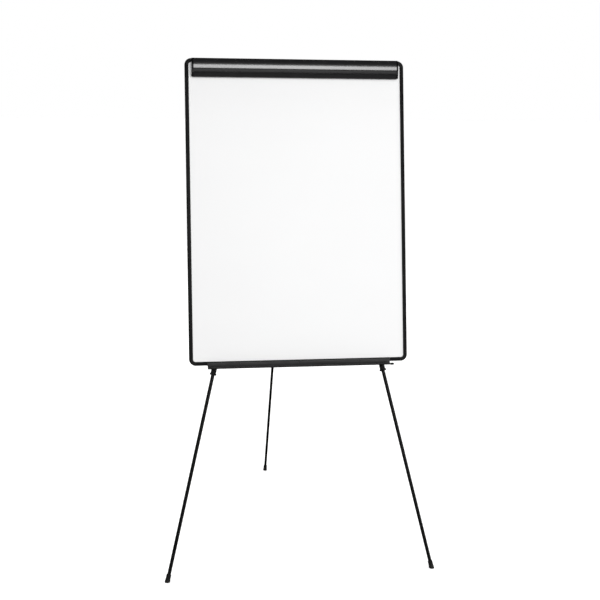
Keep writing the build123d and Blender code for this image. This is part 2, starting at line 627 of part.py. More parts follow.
def foot(lower_r, length):
    """Rubber tip, longer than needed: its sole is cut flat on the floor afterwards."""
    top = length - FOOT_L
    side = lower_r + 2.0
    profile = make_face(Polyline(
        (lower_r, -top), (lower_r + 1.4, -top), (side, -top - 2), (side, -top - 5), (side - 0.5, -top - 6),
        (side - 0.5, -top - 7), (side, -top - 8), (side, -top - 13), (side + 0.9, -length + 5),
        (side + 0.9, -length - 6), (0, -length - 6), (0, -length + FOOT_SOLE),
        (lower_r, -length + FOOT_SOLE), (lower_r, -top),
    ))
    return revolve(Plane.XZ * profile, axis=Axis.Z)


def add_leg(name, place, fitting, lower_r, length):
    """All the pieces of one telescopic leg."""
    inner_r = lower_r + 1
    outer_r = inner_r + TUBE_WALL
    lower_end = length - FOOT_SOLE
    floor_cut = Pos(0, 0, -25) * Box(2400, 2400, 50)
    add(f"{name}_top_fitting", place * fitting(inner_r, outer_r))
    add(f"{name}_upper_tube", place * sleeve(outer_r, inner_r, TUBE_TOP, TUBE_END))
    add(f"{name}_lock_body", place * lock_body(outer_r))
    add(f"{name}_lock_collet", place * lock_collet(lower_r))
    add(f"{name}_lock_ring", place * lock_ring(lower_r))
    add(f"{name}_tube_bushing", place * tube_bushing(lower_r))
    lower_tube = sleeve(lower_r, lower_r - TUBE_WALL, TUBE_END - BUSH_L + 3, lower_end)
    add(f"{name}_lower_tube", place * lower_tube)
    add(f"{name}_foot", place * foot(lower_r, length) - floor_cut)


LEFT_PLACE = LEAN_LOC * Pos(-PIVOT_X, LEG_Y, PIVOT_Z) * Rot(0, SPREAD, 0)
RIGHT_PLACE = LEAN_LOC * Pos(PIVOT_X, LEG_Y, PIVOT_Z) * Rot(0, -SPREAD, 0)
REAR_PLACE = LEAN_LOC * Pos(0, REAR_PIVOT_Y, REAR_PIVOT_Z) * Rot(LEAN + REAR_SWING, 0, 0)

add_leg("left_leg", LEFT_PLACE, front_fitting, FRONT_LOWER_R, FRONT_LENGTH)
add_leg("right_leg", RIGHT_PLACE, front_fitting, FRONT_LOWER_R, FRONT_LENGTH)
add_leg("rear_leg", REAR_PLACE, rear_fitting, REAR_LOWER_R, REAR_LENGTH)

# ---- output ----------------------------------------------------------------------------------
os.makedirs("parts", exist_ok=True)
for node_name, node_shape in nodes.items():
    export_step(node_shape, f"parts/{node_name}.step")
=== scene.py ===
import json
import math

import bmesh
import bpy
from mathutils import Matrix, Vector


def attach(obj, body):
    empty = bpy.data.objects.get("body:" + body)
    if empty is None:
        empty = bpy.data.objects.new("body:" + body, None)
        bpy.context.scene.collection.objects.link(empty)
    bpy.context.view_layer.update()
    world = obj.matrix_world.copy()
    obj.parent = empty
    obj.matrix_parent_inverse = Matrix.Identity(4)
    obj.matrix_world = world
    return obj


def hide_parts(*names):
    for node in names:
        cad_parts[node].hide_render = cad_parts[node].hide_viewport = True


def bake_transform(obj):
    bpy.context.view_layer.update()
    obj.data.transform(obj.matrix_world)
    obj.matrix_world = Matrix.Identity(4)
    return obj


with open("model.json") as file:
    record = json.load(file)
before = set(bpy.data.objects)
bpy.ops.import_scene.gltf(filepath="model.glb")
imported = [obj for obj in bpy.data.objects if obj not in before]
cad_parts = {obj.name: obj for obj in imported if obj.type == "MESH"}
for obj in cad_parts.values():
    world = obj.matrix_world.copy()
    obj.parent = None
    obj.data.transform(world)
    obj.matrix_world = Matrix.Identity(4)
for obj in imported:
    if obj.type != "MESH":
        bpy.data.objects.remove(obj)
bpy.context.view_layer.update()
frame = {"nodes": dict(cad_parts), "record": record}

MM = 0.001

# ---- the board's own frame -------------------------------------------------------------------
# X to the right, Y backwards through the board, Z up its slope, in millimetres. Y = 0 is the front
# face of the rails, and Z is counted from the line where that face would meet the floor.
BOARD_W = 737.0
BOARD_H = 1013.0
BOARD_LOW = 720.0
BOARD_TOP = BOARD_LOW + BOARD_H
WRITING_Y = 3.1

# frame rail section: across the face, and through the depth
RAIL_W = 13.0
RAIL_D = 13.0
RAIL_FRONT_R = 2.9
RAIL_BACK_R = 1.5
SLOT_FLOOR = 8.0
SLOT_FRONT = 3.0
SLOT_BACK = 11.2
CORNER_R = 22.0

# legs: radii, and distances down the leg from its pivot
FRONT_LOWER_R = 6.0
REAR_LOWER_R = 5.0
TUBE_END = 1000.0
BODY_START = 985.0
BODY_END = 1012.0
RING_START = 1012.3
RING_END = 1031.0
FLANGE_L = 5.5
FOOT_L = 26.0
FOOT_SOLE = 7.0

# pad retainer: hinge rod, and the drop below the frame's top edge where hood turns into flap
HINGE_Y = -12.0
HINGE_DROP = 27.0
FLAP_DROP = 35.8
FLAP_BLEND = 0.3
SPRING_LUG_X = 208.0
SPRING_SIDE = 12.0

mounts = {m["name"]: m for m in frame["record"]["mounts"]}
joints = {j["name"]: j for j in frame["record"]["behaviour"]["joints"]}
face_normal = Vector(mounts["writing_face"]["axis"])
LEAN = math.asin(face_normal.z)
BACK = -face_normal
UP = Vector((0, math.sin(LEAN), math.cos(LEAN)))
BOARD_ORIGIN = Vector(mounts["writing_face"]["pos_m"]) - BACK * WRITING_Y * MM
BOARD_ORIGIN -= UP * (BOARD_LOW + BOARD_H / 2) * MM
BOARD_FRAME = Matrix.Translation(BOARD_ORIGIN) @ Matrix.Rotation(-LEAN, 4, "X") @ Matrix.Scale(MM, 4)


# ---- materials -------------------------------------------------------------------------------
class Finish:
    """A procedural material under construction: a Principled shader and the nodes that feed it."""

    def __init__(self, name, roughness=0.5, metallic=0.0, **constants):
        self.material = bpy.data.materials.new(name)
        self.material.use_nodes = True
        self.tree = self.material.node_tree
        self.shader = self.tree.nodes["Principled BSDF"]
        self.shader.inputs["Roughness"].default_value = roughness
        self.shader.inputs["Metallic"].default_value = metallic
        for socket, value in constants.items():
            self.shader.inputs[socket.replace("_", " ")].default_value = value
        self.place = self.tree.nodes.new("ShaderNodeTexCoord").outputs["Object"]
        self.normal = None

    def link(self, output, target):
        self.tree.links.new(output, target)

    def grid(self, stretch=(1, 1, 1), tilt=0.0):
        """Object coordinates, turned about X by tilt and scaled along each axis."""
        turn = self.tree.nodes.new("ShaderNodeMapping")
        turn.inputs["Rotation"].default_value = (tilt, 0, 0)
        self.link(self.place, turn.inputs["Vector"])
        scale = self.tree.nodes.new("ShaderNodeMapping")
        scale.inputs["Scale"].default_value = stretch
        self.link(turn.outputs["Vector"], scale.inputs["Vector"])
        return scale.outputs["Vector"]

    def noise(self, size, detail=3.0, rough=0.55, stretch=(1, 1, 1), tilt=0.0):
        """Noise whose features are about size metres across, before stretching."""
        node = self.tree.nodes.new("ShaderNodeTexNoise")
        node.inputs["Scale"].default_value = 1 / size
        node.inputs["Detail"].default_value = detail
        node.inputs["Roughness"].default_value = rough
        self.link(self.grid(stretch, tilt), node.inputs["Vector"])
        return node.outputs["Fac"]

    def cells(self, size):
        """Distance to the nearest of scattered points about size metres apart."""
        node = self.tree.nodes.new("ShaderNodeTexVoronoi")
        node.inputs["Scale"].default_value = 1 / size
        self.link(self.grid(), node.inputs["Vector"])
        return node.outputs["Distance"]

    def ramp(self, value, low, high, out_low=0.0, out_high=1.0):
        """Value from low to high, taken smoothly to out_low and out_high."""
        node = self.tree.nodes.new("ShaderNodeMapRange")
        node.interpolation_type = "SMOOTHSTEP"
        self.link(value, node.inputs["Value"])
        node.inputs["From Min"].default_value = low
        node.inputs["From Max"].default_value = high
        node.inputs["To Min"].default_value = out_low
        node.inputs["To Max"].default_value = out_high
        return node.outputs["Result"]

    def multiply(self, a, b):
        """Product of two shares."""
        node = self.tree.nodes.new("ShaderNodeMath")
        node.operation = "MULTIPLY"
        self.link(a, node.inputs[0])
        self.link(b, node.inputs[1])
        return node.outputs["Value"]

    def edges(self, width=0.0006, low=0.02, high=0.22):
        """1 on edges, 0 on flats, found by rounding edges to width. Later bumps follow the rounding."""
        rounded = self.tree.nodes.new("ShaderNodeBevel")
        rounded.samples = 4
        rounded.inputs["Radius"].default_value = width
        geometry = self.tree.nodes.new("ShaderNodeNewGeometry")
        agree = self.tree.nodes.new("ShaderNodeVectorMath")
        agree.operation = "DOT_PRODUCT"
        self.link(rounded.outputs["Normal"], agree.inputs[0])
        self.link(geometry.outputs["Normal"], agree.inputs[1])
        self.normal = rounded.outputs["Normal"]
        return self.ramp(agree.outputs["Value"], 1 - high, 1 - low, 1, 0)

    def up_slope(self, low, high):
        """0 below low and 1 above high, two heights up the board's slope in its own millimetres."""
        along_up = self.tree.nodes.new("ShaderNodeVectorMath")
        along_up.operation = "DOT_PRODUCT"
        self.link(self.place, along_up.inputs[0])
        along_up.inputs[1].default_value = UP
        start = BOARD_ORIGIN.dot(UP)
        return self.ramp(along_up.outputs["Value"], start + low * MM, start + high * MM)

    def colour(self, base, *layers):
        """Base colour with layers laid over it: each is (colour, share)."""
        current = None
        for tint, share in layers:
            mix = self.tree.nodes.new("ShaderNodeMix")
            mix.data_type = "RGBA"
            mix.inputs["A"].default_value = (*base, 1)
            if current is not None:
                self.link(current, mix.inputs["A"])
            mix.inputs["B"].default_value = (*tint, 1)
            self.link(share, mix.inputs["Factor"])
            current = mix.outputs["Result"]
        self.link(current, self.shader.inputs["Base Color"])

    def roughness(self, value):
        self.link(value, self.shader.inputs["Roughness"])

    def bump(self, height, depth, strength=1.0):
        """Relief of about depth metres, added to any relief given before."""
        node = self.tree.nodes.new("ShaderNodeBump")
        node.inputs["Strength"].default_value = strength
        node.inputs["Distance"].default_value = depth
        self.link(height, node.inputs["Height"])
        if self.normal is not None:
            self.link(self.normal, node.inputs["Normal"])
        self.normal = node.outputs["Normal"]
        self.link(self.normal, self.shader.inputs["Normal"])


def along(axis):
    """Stretch and tilt of a pattern drawn out along X, along the slope, or the same each way."""
    if axis == "x":
        return (0.02, 1, 1), -LEAN
    if axis == "slope":
        return (1, 1, 0.02), LEAN
    return (1, 1, 1), 0.0


def extruded_plastic(name, axis):
    """Satin black extruded plastic: fine die lines along its length, faint scuffs and dust."""
    stretch, tilt = along(axis)
    m = Finish(name, Specular_IOR_Level=0.12)
    lines = m.noise(0.0011, 2, 0.5, stretch, tilt)
    patches = m.noise(0.09, 4)
    scuffs = m.ramp(m.noise(0.006, 6, 0.7, stretch, tilt), 0.66, 0.74)
    m.colour(
        (0.003, 0.003, 0.0034),
        ((0.0055, 0.0055, 0.006), m.ramp(patches, 0.4, 0.7)),
        ((0.035, 0.035, 0.035), m.multiply(scuffs, m.ramp(m.noise(0.03, 3), 0.5, 0.7, 0, 0.5))),
        ((0.06, 0.06, 0.062), m.edges()),
    )
    m.roughness(m.ramp(m.noise(0.012, 5, 0.6, stretch, tilt), 0.3, 0.7, 0.4, 0.54))
    m.bump(lines, 0.00002, 0.5)
    m.bump(m.noise(0.018, 3), 0.00006, 0.35)
    return m.material


def moulded_plastic(name, base=0.0035, rough=(0.42, 0.56), grain=0.0005):
    """Black moulded plastic with a fine spark-eroded grain."""
    m = Finish(name, Specular_IOR_Level=0.15)
    m.colour(
        (base, base, base * 1.06),
        ((base * 1.9, base * 1.9, base * 1.95), m.ramp(m.noise(0.02, 4), 0.42, 0.7)),
        ((0.045, 0.045, 0.047), m.edges()),
    )
    m.roughness(m.ramp(m.noise(0.004, 4), 0.3, 0.7, *rough))
    m.bump(m.noise(grain, 2, 0.6), 0.00003, 0.6)
    m.bump(m.noise(0.006, 2), 0.00005, 0.3)
    return m.material


def clamp_bar_finish():
    """The clamp bar: a glossy drawn hood over a satin flap, wiping scratches and finger haze."""
    stretch, tilt = along("x")
    m = Finish("retainer_gloss", Specular_IOR_Level=0.4, Coat_IOR=2.3, Coat_Roughness=0.32)
    edge = BOARD_TOP - FLAP_DROP
    hood = m.up_slope(edge - FLAP_BLEND, edge + FLAP_BLEND)
    m.link(hood, m.shader.inputs["Coat Weight"])
    haze = m.ramp(m.noise(0.035, 5, 0.6), 0.45, 0.72)
    m.colour(
        (0.003, 0.003, 0.0036),
        ((0.006, 0.006, 0.0066), haze),
        ((0.04, 0.04, 0.042), m.edges(0.0004)),
    )
    drawn = m.noise(0.02, 6, 0.65, stretch, tilt)
    m.roughness(m.ramp(hood, 0, 1, 0.42, 0.2))
    m.bump(drawn, 0.00004, 0.3)
    m.bump(m.noise(0.0016, 2, 0.5, stretch, tilt), 0.000012, 0.5)
    m.bump(m.noise(0.05, 2, 0.5, (0.35, 1, 1), tilt), 0.00018, 0.3)
    return m.material


def dry_erase():
    """White melamine: nearly flat, with the faintest wiping haze and unevenness."""
    m = Finish("dry_erase_white", Specular_IOR_Level=0.4)
    wiped = m.noise(0.06, 4, 0.6, (0.3, 1, 1), LEAN)
    m.colour(
        (0.9, 0.9, 0.9),
        ((0.897, 0.898, 0.9), m.ramp(m.noise(0.3, 2, 0.4), 0.2, 0.8)),
        ((0.895, 0.896, 0.898), m.ramp(wiped, 0.2, 0.9, 0, 0.5)),
    )
    m.roughness(m.ramp(wiped, 0.2, 0.8, 0.29, 0.33))
    m.bump(m.noise(0.0009, 2), 0.000006, 0.4)
    return m.material


def backing_film():
    """Dark embossed film on the board's back."""
    m = Finish("backing_film", Specular_IOR_Level=0.35)
    m.colour(
        (0.042, 0.042, 0.045),
        ((0.055, 0.055, 0.058), m.ramp(m.noise(0.15, 5), 0.4, 0.7)),
        ((0.09, 0.088, 0.085), m.ramp(m.noise(0.01, 6, 0.7), 0.68, 0.8, 0, 0.5)),
    )
    m.roughness(m.ramp(m.noise(0.05, 4), 0.3, 0.7, 0.5, 0.68))
    m.bump(m.cells(0.0016), 0.00006, 0.7)
    return m.material


def fibreboard():
    """Pressed brown fibre of the board's core."""
    m = Finish("fibreboard", 0.85)
    m.colour(
        (0.26, 0.17, 0.09),
        ((0.36, 0.26, 0.15), m.ramp(m.noise(0.002, 5, 0.7), 0.4, 0.65)),
        ((0.12, 0.07, 0.035), m.ramp(m.noise(0.0012, 4, 0.7, (1, 1, 0.2)), 0.6, 0.75)),
    )
    m.bump(m.noise(0.0008, 4, 0.7), 0.00015, 0.7)
    return m.material


def anodised(name, base, axis="x"):
    """Black anodised extrusion: brushed along its length, edges rubbed a little lighter."""
    stretch, tilt = along(axis)
    m = Finish(name, metallic=0.2, Specular_IOR_Level=0.3)
    m.colour(
        (base, base, base * 1.05),
        ((base * 1.8, base * 1.8, base * 1.85), m.ramp(m.noise(0.03, 4), 0.42, 0.7)),
        ((0.11, 0.11, 0.112), m.edges()),
    )
    m.roughness(m.ramp(m.noise(0.004, 5, 0.65, stretch, tilt), 0.3, 0.7, 0.26, 0.42))
    m.bump(m.noise(0.0006, 2, 0.5, stretch, tilt), 0.000012, 0.6)
    return m.material


def powder_coat(name):
    """Black powder coat on steel: orange peel, and long rubs where the tubes slide."""
    m = Finish(name, Specular_IOR_Level=0.2)
    rubs = m.ramp(m.noise(0.004, 5, 0.7, (1, 1, 0.03)), 0.67, 0.76)
    m.colour(
        (0.0025, 0.0025, 0.003),
        ((0.0045, 0.0045, 0.005), m.ramp(m.noise(0.05, 4), 0.42, 0.7)),
        ((0.05, 0.05, 0.052), m.multiply(rubs, m.ramp(m.noise(0.06, 3), 0.5, 0.66))),
        ((0.07, 0.07, 0.07), m.edges()),
    )
    m.roughness(m.ramp(m.noise(0.006, 5, 0.6), 0.3, 0.7, 0.3, 0.42))
    m.bump(m.noise(0.0011, 2, 0.5), 0.00003, 0.6)
    return m.material


def bright_steel(name, tone=0.5):
    """Drawn steel with fine circular tool marks and a trace of oil."""
    m = Finish(name, metallic=1.0)
    m.colour(
        (tone, tone, tone * 1.03),
        ((tone * 0.55, tone * 0.53, tone * 0.5), m.ramp(m.noise(0.004, 5, 0.7), 0.5, 0.72)),
        ((0.75, 0.75, 0.76), m.edges()),
    )
    m.roughness(m.ramp(m.noise(0.002, 4), 0.3, 0.7, 0.22, 0.4))
    m.bump(m.noise(0.0004, 2, 0.5, (0.1, 1, 1)), 0.00001, 0.6)
    return m.material


def black_zinc():
    """Blackened screw steel, brighter where the driver has bitten."""
    m = Finish("black_zinc", metallic=0.8)
    m.colour(
        (0.022, 0.022, 0.024),
        ((0.05, 0.048, 0.045), m.ramp(m.noise(0.0015, 4), 0.45, 0.7)),
        ((0.2, 0.2, 0.2), m.edges()),
    )
    m.roughness(m.ramp(m.noise(0.001, 4), 0.3, 0.7, 0.3, 0.5))
    m.bump(m.noise(0.0005, 2), 0.00002, 0.5)
    return m.material


DUST_HEIGHT = 0.014


def soft_rubber():
    """Matt black rubber: fine pores, greyed by dust towards the sole."""
    m = Finish("soft_rubber", Specular_IOR_Level=0.3)
    split = m.tree.nodes.new("ShaderNodeSeparateXYZ")
    m.link(m.place, split.inputs["Vector"])
    low = m.ramp(split.outputs["Z"], 0.0, DUST_HEIGHT, 1, 0)
    dusty = m.multiply(low, m.ramp(m.noise(0.003, 5, 0.7), 0.35, 0.7, 0.1, 0.75))
    m.colour(
        (0.007, 0.007, 0.007),
        ((0.012, 0.012, 0.012), m.ramp(m.noise(0.008, 4), 0.4, 0.7)),
        ((0.045, 0.042, 0.038), dusty),
    )
    m.roughness(m.ramp(m.noise(0.002, 4), 0.3, 0.7, 0.62, 0.82))
    m.bump(m.noise(0.0004, 3, 0.6), 0.00005, 0.7)
    return m.material


MATERIALS = {
    "frame_x": extruded_plastic("frame_plastic_across", "x"),
    "frame_slope": extruded_plastic("frame_plastic_upright", "slope"),
    "corner": moulded_plastic("corner_plastic"),
    "writing_surface": dry_erase(),
    "core": fibreboard(),
    "backing": backing_film(),
    "retainer": clamp_bar_finish(),
    "retainer_cap": moulded_plastic("cap_plastic", 0.0035, (0.3, 0.42)),
    "base_rail": anodised("anodised_dark", 0.02),
    "spring_steel": bright_steel("spring_steel", 0.35),
    "plain_steel": bright_steel("plain_steel"),
    "black_screw": black_zinc(),
    "rubber": soft_rubber(),
    "tray": anodised("tray_anodised", 0.006),
    "nylon": moulded_plastic("moulded_nylon", 0.0035, (0.38, 0.5), 0.0007),
    "leg_tube": powder_coat("powder_coat_legs"),
    "strap": powder_coat("powder_coat_strap"),
}

slot_of = {s["node"]: s["material_slot"] for s in frame["record"]["subparts"]}
for name, node in frame["nodes"].items():
    key = slot_of[name]
    if key == "frame":
        key = "frame_slope" if name.endswith(("left", "right")) else "frame_x"
    node.data.materials.clear()
    node.data.materials.append(MATERIALS[key])


# ---- outlines and solids ---------------------------------------------------------------------
SHARP_ANGLE = math.radians(32)


def rounded(corners, steps=6):
    """Closed outline through corners (x, y, radius), each rounded by an arc of its radius."""
    outline = []
    count = len(corners)
    for i, (x, y, radius) in enumerate(corners):
        here = Vector((x, y))
        if radius == 0:
            outline.append(here)
            continue
        before = (Vector(corners[i - 1][:2]) - here).normalized()
        after = (Vector(corners[(i + 1) % count][:2]) - here).normalized()
        half = before.angle(after) / 2
        reach = radius / math.tan(half)
        centre = here + (before + after).normalized() * radius / math.sin(half)
        first = here + before * reach - centre
        turn = first.angle_signed(here + after * reach - centre)
        for k in range(steps + 1):
            outline.append(centre + Matrix.Rotation(-turn * k / steps, 2) @ first)
    return outline


def inset(outline, amount):
    """The same outline moved inwards, for outlines that run anticlockwise."""
    moved = []
    for i, point in enumerate(outline):
        run = outline[(i + 1) % len(outline)] - outline[i - 1]
        moved.append(point + Vector((-run.y, run.x)).normalized() * amount)
    return moved


def new_piece(name, replaced, key, build):
    """Object from what build draws in an empty bmesh, to stand in place of a CAD node."""
    mesh = bpy.data.meshes.new(name)
    bm = bmesh.new()
    build(bm)
    bmesh.ops.recalc_face_normals(bm, faces=bm.faces)
    bm.to_mesh(mesh)
    bm.free()
    mesh.shade_smooth()
    mesh.set_sharp_from_angle(angle=SHARP_ANGLE)
    mesh.materials.append(MATERIALS[key])
    piece = bpy.data.objects.new(name, mesh)
    bpy.context.scene.collection.objects.link(piece)
    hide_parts(replaced)
    return piece


def add_piece(name, body, replaced, key, build):
    """A new piece that rides on one body."""
    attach(new_piece(name, replaced, key, build), body)


def join_rings(bm, rings, wrap=False):
    """Faces between rings of points, closed at both ends, or round to the first ring again."""
    made = [[bm.verts.new(point) for point in ring] for ring in rings]
    pairs = list(zip(made, made[1:]))
    if wrap:
        pairs.append((made[-1], made[0]))
    for low, high in pairs:
        count = max(len(low), len(high))
        for i in range(count):
            j = (i + 1) % count
            if len(low) == 1:
                bm.faces.new((low[0], high[j], high[i]))
            elif len(high) == 1:
                bm.faces.new((low[i], low[j], high[0]))
            else:
                bm.faces.new((low[i], low[j], high[j], high[i]))
    if not wrap:
        for ring in (made[0], made[-1]):
            if len(ring) > 2:
                bm.faces.new(ring)


# ---- frame: rails and moulded corners, with a hairline seam where they meet ------------------
SEAM = 0.45
SEAM_STEPS = 4
SLOT_LIP_R = 0.5
RAIL_INNER_R = RAIL_FRONT_R / 2
CORNER_STEPS = 14


def rail_outline():
    """Rail section, anticlockwise: X from the outer edge inwards, Y through the depth."""
    return rounded([
        (0, 0, RAIL_FRONT_R), (RAIL_W, 0, RAIL_INNER_R), (RAIL_W, SLOT_FRONT, SLOT_LIP_R),
        (SLOT_FLOOR, SLOT_FRONT, 0), (SLOT_FLOOR, SLOT_BACK, 0),
        (RAIL_W, SLOT_BACK, SLOT_LIP_R), (RAIL_W, RAIL_D, SLOT_LIP_R), (0, RAIL_D, RAIL_BACK_R),
    ])


def seam_stations(length):
    """Places along a length, with the inset that rounds the section off at both ends."""
    ends = []
    for k in range(SEAM_STEPS + 1):
        angle = math.pi / 2 * k / SEAM_STEPS
        ends.append((SEAM * (1 - math.cos(angle)), SEAM * (1 - math.sin(angle))))
    return ends + [(length - t, drawn_in) for t, drawn_in in reversed(ends)]


def swept(place, length, middle=0):
    """Rings of the rail section from 0 to length, where place(along, across, depth) puts a point."""
    outline = rail_outline()
    stations = seam_stations(length)
    half = len(stations) // 2
    between = [(length * k / (middle + 1), 0.0) for k in range(1, middle + 1)]
    return [
        [BOARD_FRAME @ place(t, p.x, p.y) for p in inset(outline, drawn_in)]
        for t, drawn_in in stations[:half] + between + stations[half:]
    ]


def frame_pieces():
    """Four straight rails and the four corners between them."""
    half_w = BOARD_W / 2
    side = BOARD_H - 2 * CORNER_R
    across = BOARD_W - 2 * CORNER_R
    left_rail = lambda t, a, y: Vector((-half_w + a, y, BOARD_LOW + CORNER_R + t))
    right_rail = lambda t, a, y: Vector((half_w - a, y, BOARD_LOW + CORNER_R + t))
    bottom_rail = lambda t, a, y: Vector((-half_w + CORNER_R + t, y, BOARD_LOW + a))
    top_rail = lambda t, a, y: Vector((-half_w + CORNER_R + t, y, BOARD_TOP - a))
    for name, place, length, key in (
        ("left", left_rail, side, "frame_slope"),
        ("right", right_rail, side, "frame_slope"),
        ("bottom", bottom_rail, across, "frame_x"),
        ("top", top_rail, across, "frame_x"),
    ):
        rings = swept(place, length)
        add_piece(f"rail_{name}", "board", f"frame_rail_{name}", key, lambda bm: join_rings(bm, rings))

    arc = CORNER_R * math.pi / 2
    for name, sx, sz in (
        ("bottom_left", -1, -1), ("bottom_right", 1, -1), ("top_left", -1, 1), ("top_right", 1, 1),
    ):
        centre_x = sx * (half_w - CORNER_R)
        centre_z = BOARD_LOW + CORNER_R if sz < 0 else BOARD_TOP - CORNER_R

        def place(t, a, y):
            angle = math.pi / 2 * t / arc
            reach = CORNER_R - a
            return Vector((
                centre_x + sx * reach * math.cos(angle), y, centre_z + sz * reach * math.sin(angle)
            ))

        rings = swept(place, arc, middle=CORNER_STEPS)
        node = f"frame_corner_{name}"
        add_piece(f"corner_{name}", "board", node, "corner", lambda bm: join_rings(bm, rings))


# ---- legs: lock bodies, twist rings and rubber feet ------------------------------------------
class Leg:
    """A leg's own frame: Z up its axis from the pivot, in millimetres."""

    def __init__(self, name, lower_r):
        self.name = name
        self.lower_r = lower_r
        self.pivot = Vector(joints[f"{name}_fold"]["pos_m"])
        self.down = Vector(joints[f"{name}_slide"]["axis"]).normalized()
        self.length = self.pivot.z / -self.down.z / MM
        turn = Vector((0, 0, -1)).rotation_difference(self.down).to_matrix().to_4x4()
        self.frame = Matrix.Translation(self.pivot) @ turn @ Matrix.Scale(MM, 4)

    def ring(self, radius, u, segments, depth=0.0, count=0):
        """Circle at distance u down the leg, with count shallow scallops of the given depth."""
        if radius == 0:
            return [self.frame @ Vector((0, 0, -u))]
        points = []
        for k in range(segments):
            angle = 2 * math.pi * k / segments
            dip = depth * max(0.0, math.cos(count * angle)) ** 1.5 if count else 0.0
            reach = radius - dip
            points.append(self.frame @ Vector((reach * math.cos(angle), reach * math.sin(angle), -u)))
        return points


# radii outside the lower tube's own, heights and depths
TUBE_OUT = 2.0
TUBE_T = 0.7
BODY_OUT = 3.2
FLANGE_OUT = 5.3
RING_BORE = 1.31
GROOVES = (991.0, 995.0)
GROOVE_DEPTH = 0.45
TURNED_SEGMENTS = 96
RING_SEGMENTS = 168
FLUTES = 14
FLUTE_DEPTH = 0.8
GRIP_RIBS = 42
GRIP_DEPTH = 0.4


def lock_body(leg):
    """Collar on the upper tube's lower end: two turned grooves and a lip over the ring."""
    outer = leg.lower_r + BODY_OUT
    bore = leg.lower_r + TUBE_OUT
    throat = bore - TUBE_T
    corners = [(bore, BODY_START, 0.3), (outer, BODY_START, 1.2)]
    for start in GROOVES:
        floor_r = outer - GROOVE_DEPTH
        corners += [
            (outer, start, 0.2), (floor_r, start + 0.4, 0.2),
            (floor_r, start + 1.2, 0.2), (outer, start + 1.6, 0.2),
        ]
    corners += [
        (outer, BODY_END, 0.5), (throat, BODY_END, 0.3), (throat, TUBE_END, 0), (bore, TUBE_END, 0),
    ]
    rings = [leg.ring(p.x, p.y, TURNED_SEGMENTS) for p in rounded(corners, 4)]
    name = f"{leg.name}_lock_body"
    add_piece(f"{name}_turned", leg.name, name, "nylon", lambda bm: join_rings(bm, rings, wrap=True))


def lock_ring(leg):
    """Twist ring: a finely ribbed grip above a fluted flange."""
    grip = leg.lower_r + BODY_OUT
    flange = leg.lower_r + FLANGE_OUT
    bore = leg.lower_r + RING_BORE
    shoulder = RING_END - FLANGE_L
    outline = rounded([
        (bore, RING_START, 0.2), (grip, RING_START, 0.8), (grip, shoulder, 1.0),
        (flange, shoulder, 1.1), (flange, RING_END, 1.1), (bore, RING_END, 0.4),
    ], 5)
    rings = []
    for p in outline:
        depth, count = 0.0, 0
        if p.x > grip + 0.9:
            depth, count = FLUTE_DEPTH, FLUTES
        elif p.x > grip - 0.05 and RING_START + 1.5 < p.y < shoulder - 0.9:
            depth, count = GRIP_DEPTH, GRIP_RIBS
        rings.append(leg.ring(p.x, p.y, RING_SEGMENTS, depth, count))
        at_grip_top = abs(p.x - grip) < 0.01 and abs(p.y - (RING_START + 0.8)) < 0.01
        if at_grip_top:
            grip_l = shoulder - RING_START
            ribbed = ((1.4, 0.0), (2.2, GRIP_DEPTH), (grip_l - 2.4, GRIP_DEPTH), (grip_l - 1.6, 0.0))
            for below, rib in ribbed:
                rings.append(leg.ring(grip, RING_START + below, RING_SEGMENTS, rib, GRIP_RIBS))
    name = f"{leg.name}_lock_ring"
    body = f"{leg.name}_lock"
    add_piece(f"{name}_fluted", body, name, "nylon", lambda bm: join_rings(bm, rings, wrap=True))


FOOT_FLARE = 0.9
FOOT_GROOVES = 3
FOOT_GROOVE_DEPTH = 0.6
FOOT_OVERRUN = 6.0
SOLE_R = 0.6


def foot(leg):
    """Rubber tip with grip grooves and a flared, softly rounded sole that is flat on the floor."""
    top = leg.length - FOOT_L
    side = leg.lower_r + TUBE_OUT
    flare = side + FOOT_FLARE
    grooves = []
    for k in range(FOOT_GROOVES):
        u = top + 6.0 + 3.0 * k
        floor_r = side - FOOT_GROOVE_DEPTH
        grooves += [
            (side, u, 0.2), (floor_r, u + 0.4, 0.25), (floor_r, u + 1.0, 0.25), (side, u + 1.4, 0.2),
        ]
    corners = [
        (leg.lower_r, top, 0.2), (leg.lower_r + 1.4, top, 0.6), (side, top + 2.0, 0.8), *grooves,
        (side, top + 14.0, 2.0), (flare, leg.length - 5.0, 2.0), (flare, leg.length + FOOT_OVERRUN, 0),
    ]
    hollow = [(leg.lower_r, leg.length - FOOT_SOLE, 0)]
    outline = rounded(corners + hollow, 4)
    hole = outline.pop()
    rings = [leg.ring(0, hole.y, 1), leg.ring(hole.x, hole.y, TURNED_SEGMENTS)]
    rings += [leg.ring(p.x, p.y, TURNED_SEGMENTS) for p in outline]
    rings.append(leg.ring(0, leg.length + FOOT_OVERRUN, 1))

    def build(bm):
        join_rings(bm, rings)
        everything = bm.verts[:] + bm.edges[:] + bm.faces[:]
        cut = bmesh.ops.bisect_plane(
            bm, geom=everything, plane_co=(0, 0, 0), plane_no=(0, 0, -1), clear_outer=True
        )
        rim = [e for e in cut["geom_cut"] if isinstance(e, bmesh.types.BMEdge)]
        bmesh.ops.contextual_create(bm, geom=rim)
        bmesh.ops.bevel(bm, geom=rim, offset=SOLE_R * MM, segments=3, profile=0.5, affect="EDGES")

    name = f"{leg.name}_foot"
    add_piece(f"{name}_tip", f"{leg.name}_lower", name, "rubber", build)


# ---- retainer springs: coils drawn at rest and fixed in place; they don't wind up as the clamp rocks ---
WIRE_R = 0.55
COIL_R = 3.2
COIL_L = 6.75
COIL_TURNS = 4.5
COIL_STEPS = 108
WIRE_SEGMENTS = 10
